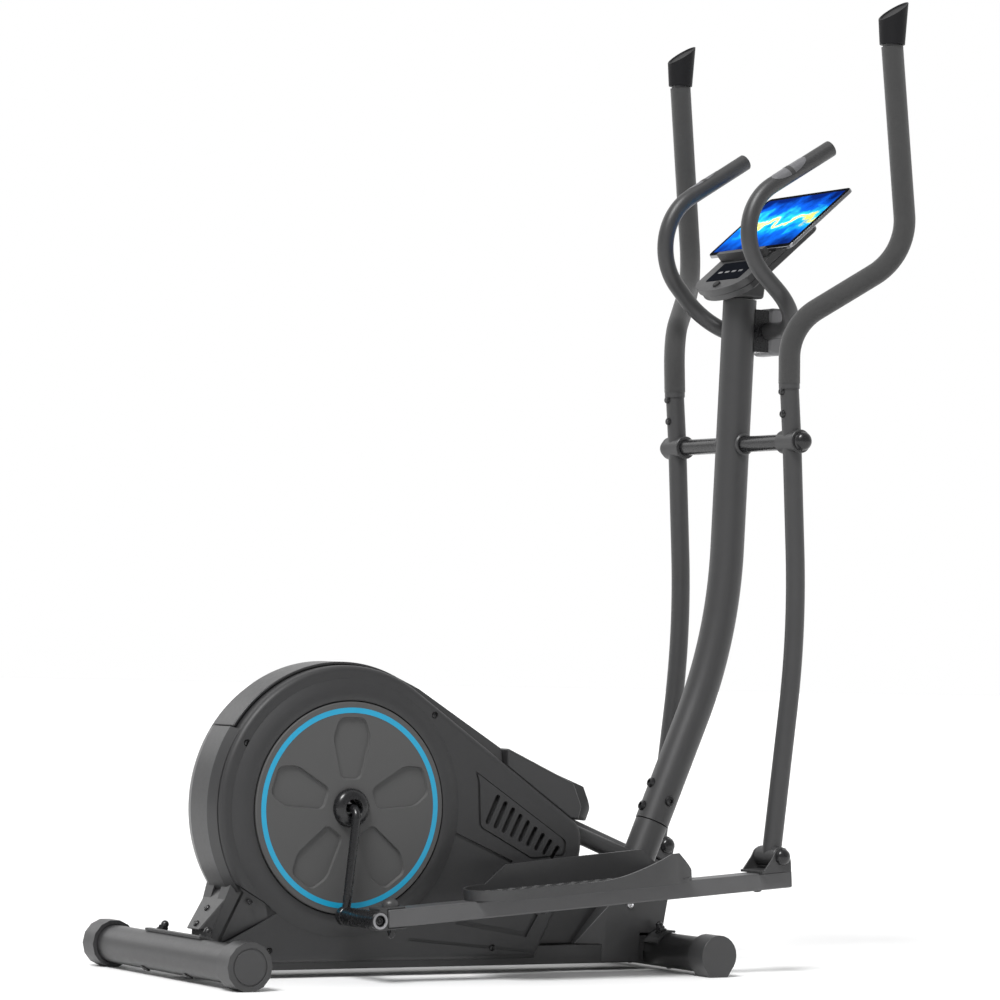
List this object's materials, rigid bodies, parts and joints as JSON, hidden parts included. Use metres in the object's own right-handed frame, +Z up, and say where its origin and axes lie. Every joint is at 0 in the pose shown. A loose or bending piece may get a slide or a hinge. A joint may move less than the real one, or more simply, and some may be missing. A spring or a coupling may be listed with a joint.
{
  "type": "elliptical trainer",
  "caption": "Rear-drive elliptical cross trainer with crank discs in a plastic housing, pedal beams, swinging foam-grip arms, a bent mast, a fixed bar and a console that holds a tablet.",
  "frame": {"origin": "on the floor at the middle of the machine's footprint", "axes": "+Z up, +X forward from the crank to the console, +Y to the user's left"},
  "size_m": [1.2132, 0.6786, 1.5996],
  "materials": {
    "frame_paint": "satin powder coat, dark grey",
    "black_paint": "gloss black",
    "shell_plastic": "fine grain, dark grey",
    "disc_plastic": "fine grain, dark grey",
    "matte_plastic": "matt black",
    "grip_foam": "matt foam",
    "belt_rubber": "matt",
    "steel": "zinc plated",
    "cast_iron": "machined rim",
    "screen_glass": "glossy"
  },
  "bodies": {
    "frame": {"base_rail": "frame_paint", "rear_foot_tube": "frame_paint", "front_foot_tube": "frame_paint", "rear_foot_cap_right": "matte_plastic", "rear_foot_cap_left": "matte_plastic", "front_foot_cap_right": "matte_plastic", "front_foot_cap_left": "matte_plastic", "front_post": "frame_paint", "crank_tower": "frame_paint", "crank_bearing_right": "steel", "crank_bearing_left": "steel", "flywheel_axle": "steel", "drive_belt": "belt_rubber", "resistance_motor": "matte_plastic", "housing_right": "shell_plastic", "housing_left": "shell_plastic", "housing_spine": "shell_plastic", "housing_top_strip": "shell_plastic", "housing_front_cover": "shell_plastic", "mast": "frame_paint", "arm_axle": "frame_paint", "fixed_bar": "frame_paint", "bar_bracket": "black_paint", "bar_clamp_cover": "matte_plastic", "console_face": "matte_plastic", "console_back": "matte_plastic", "console_display": "screen_glass", "tablet_ledge": "matte_plastic"},
    "crank": {"crank_axle": "steel", "crank_arm_right": "black_paint", "crank_arm_left": "black_paint", "crank_disc_right": "disc_plastic", "crank_disc_left": "disc_plastic", "drive_pulley": "matte_plastic"},
    "flywheel": {"flywheel": "cast_iron"},
    "tensioner": {"tensioner_roller": "matte_plastic"},
    "magnet": {"magnet_carrier": "frame_paint"},
    "mode_key": {"mode_key": "belt_rubber"},
    "tablet": {"tablet": "screen_glass"},
    "arm_right": {"lower_arm_right": "frame_paint", "upper_handle_right": "frame_paint", "handle_foam_right": "grip_foam", "handle_cap_right": "matte_plastic"},
    "pin_right": {"hinge_pin_right": "black_paint"},
    "pedal_right": {"pedal_beam_right": "frame_paint", "foot_plate_right": "matte_plastic", "hinge_bracket_right": "frame_paint", "crank_sleeve_right": "black_paint", "rear_yoke_right": "frame_paint"},
    "arm_left": {"lower_arm_left": "frame_paint", "upper_handle_left": "frame_paint", "handle_foam_left": "grip_foam", "handle_cap_left": "matte_plastic"},
    "pin_left": {"hinge_pin_left": "black_paint"},
    "pedal_left": {"pedal_beam_left": "frame_paint", "foot_plate_left": "matte_plastic", "hinge_bracket_left": "frame_paint", "crank_sleeve_left": "black_paint", "rear_yoke_left": "frame_paint"}
  },
  "joints": [
    {"name": "crank_spin", "type": "hinge", "parent": "frame", "child": "crank", "pos_m": [-0.30205, 0, 0.2667], "axis": [0, 1, 0], "continuous": true},
    {"name": "flywheel_spin", "type": "hinge", "parent": "frame", "child": "flywheel", "pos_m": [0.00395, 0, 0.178], "axis": [0, 1, 0], "continuous": true},
    {"name": "tensioner_spin", "type": "hinge", "parent": "frame", "child": "tensioner", "pos_m": [-0.1417, 0, 0.12723], "axis": [0, 1, 0], "continuous": true},
    {"name": "magnet_swing", "type": "hinge", "parent": "frame", "child": "magnet", "pos_m": [-0.01437, 0, 0.0741], "axis": [0, 1, 0], "range_deg": [0, 2]},
    {"name": "mode_press", "type": "slide", "parent": "frame", "child": "mode_key", "axis": [0.6481, 0, -0.7615], "range_m": [0, 0.002], "stiffness_N_per_m": 300},
    {"name": "tablet_lift", "type": "slide", "parent": "frame", "child": "tablet", "axis": [0.7615, 0, 0.6481], "range_m": [0, 0.3]},
    {"name": "swing_right", "type": "hinge", "parent": "frame", "child": "arm_right", "pos_m": [0.45795, -0.172, 0.876], "axis": [0, 1, 0], "range_deg": [-12.5, 12.5]},
    {"name": "pin_turn_right", "type": "hinge", "parent": "arm_right", "child": "pin_right", "pos_m": [0.43295, -0.172, 0.193], "axis": [0, 1, 0], "range_deg": [-12.5, 12.5]},
    {"name": "pedal_lift_right", "type": "hinge", "parent": "pin_right", "child": "pedal_right", "pos_m": [0.43295, -0.172, 0.193], "axis": [0, 1, 0], "range_deg": [0, 25.7]},
    {"name": "swing_left", "type": "hinge", "parent": "frame", "child": "arm_left", "pos_m": [0.45795, 0.172, 0.876], "axis": [0, 1, 0], "range_deg": [-12.5, 12.5]},
    {"name": "pin_turn_left", "type": "hinge", "parent": "arm_left", "child": "pin_left", "pos_m": [0.43295, 0.172, 0.193], "axis": [0, 1, 0], "range_deg": [-12.5, 12.5]},
    {"name": "pedal_lift_left", "type": "hinge", "parent": "pin_left", "child": "pedal_left", "pos_m": [0.43295, 0.172, 0.193], "axis": [0, 1, 0], "range_deg": [-25.7, 0]}
  ],
  "couplings": [
    {"joint": "flywheel_spin", "follows": "crank_spin", "ratio": 8},
    {"joint": "tensioner_spin", "follows": "crank_spin", "ratio": -7.5294},
    {"joint": "swing_left", "follows": "swing_right", "ratio": -1},
    {"joint": "pin_turn_right", "follows": "swing_right", "ratio": -1},
    {"joint": "pin_turn_left", "follows": "swing_right", "ratio": 1},
    {"joint": "pedal_lift_left", "follows": "pedal_lift_right", "ratio": -1}
  ]
}
